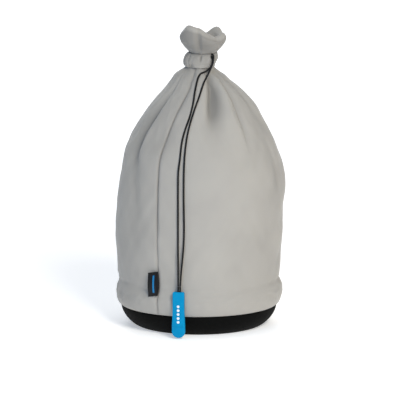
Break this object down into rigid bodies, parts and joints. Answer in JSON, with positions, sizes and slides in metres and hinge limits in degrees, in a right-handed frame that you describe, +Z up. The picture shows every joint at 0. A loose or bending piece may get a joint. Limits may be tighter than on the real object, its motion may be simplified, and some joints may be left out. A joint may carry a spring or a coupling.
{
  "type": "lens pouch",
  "caption": "Padded drawstring pouch for a camera lens, on a moulded round base, with a gathered neck, a pull tab on its cord and a side label.",
  "frame": {"origin": "middle of the base's flat underside", "axes": "+Z up through the neck, -Y towards the front where the cord hangs, +X to the right"},
  "size_m": [0.1353, 0.1363, 0.242],
  "materials": {
    "face_fabric": "smooth brushed knit",
    "lining_fabric": "short plush",
    "padding_foam": "open foam",
    "base_moulding": "fine matt grain",
    "cord_fibre": "braided",
    "tab_rubber": "satin moulded",
    "label_weave": "satin woven"
  },
  "bodies": {
    "pouch": {"base_cup": "base_moulding", "base_pad": "padding_foam", "base_lining": "lining_fabric", "front_panel": "face_fabric", "rear_panel": "face_fabric", "front_padding": "padding_foam", "rear_padding": "padding_foam", "lining_sleeve": "lining_fabric", "drawcord_channel": "face_fabric", "drawcord_loop": "cord_fibre"},
    "cord_exit": {"cord_exit_left": "cord_fibre", "cord_exit_right": "cord_fibre"},
    "cord_hang": {"cord_strand_left": "cord_fibre", "cord_strand_right": "cord_fibre"},
    "cord_tails": {"cord_tail_left": "cord_fibre", "cord_tail_right": "cord_fibre"},
    "tab": {"pull_tab": "tab_rubber", "cord_end_knot": "cord_fibre"},
    "label": {"side_label": "label_weave"}
  },
  "joints": [
    {"name": "cord_swing", "type": "hinge", "parent": "pouch", "child": "cord_exit", "pos_m": [0.002, 0, 0.2158], "axis": [0, 0, 1], "range_deg": [-4, 12]},
    {"name": "cord_lift", "type": "hinge", "parent": "cord_exit", "child": "cord_hang", "pos_m": [0.0109, -0.0128, 0.2162], "axis": [-1, 0, 0], "range_deg": [0, 95]},
    {"name": "cord_draw", "type": "slide", "parent": "cord_hang", "child": "cord_tails", "axis": [0, 0, 1], "range_m": [0, 0.165], "deforming": ["cord_strand_left", "cord_strand_right"]},
    {"name": "tab_tilt", "type": "hinge", "parent": "cord_tails", "child": "tab", "pos_m": [-0.01615, -0.06677, 0.0392], "axis": [-0.972, 0.2351, 0], "range_deg": [0, 105]},
    {"name": "label_flip", "type": "hinge", "parent": "pouch", "child": "label", "pos_m": [-0.0335, -0.05756, 0.0418], "axis": [0, 0, 1], "range_deg": [0, 120], "stiffness_Nm_per_rad": 0.00005}
  ]
}
